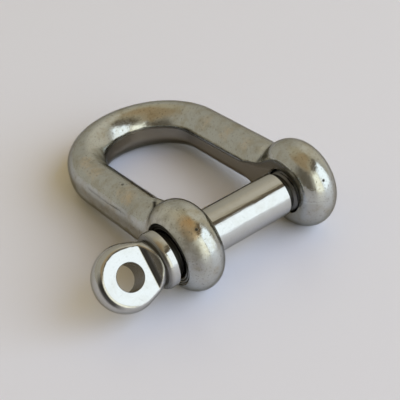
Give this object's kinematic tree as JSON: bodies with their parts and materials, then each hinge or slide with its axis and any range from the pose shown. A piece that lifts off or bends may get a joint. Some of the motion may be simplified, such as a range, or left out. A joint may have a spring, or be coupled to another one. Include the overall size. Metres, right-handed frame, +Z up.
{
  "type": "screw pin D shackle",
  "caption": "Polished stainless D shackle for joining chain: a round cast bow with domed ears, closed by a screw pin with a collar and a drilled eye.",
  "frame": {"origin": "on the pin's axis, midway between the two ears", "axes": "+X along the pin from its eye to its thread, +Y towards the crown of the bow, +Z up as the shackle lies on a table"},
  "size_m": [0.0582, 0.0657, 0.0206],
  "materials": {
    "cast_steel": "polished stainless casting with a fine grain and a few pits",
    "turned_steel": "turned and polished stainless steel"
  },
  "bodies": {
    "bow": {"bow": "cast_steel"},
    "screw_pin": {"screw_pin": "turned_steel"}
  },
  "joints": [
    {"name": "pin_travel", "type": "slide", "parent": "bow", "child": "screw_pin", "axis": [-1, 0, 0], "range_m": [-0.0015, 0.041]}
  ]
}
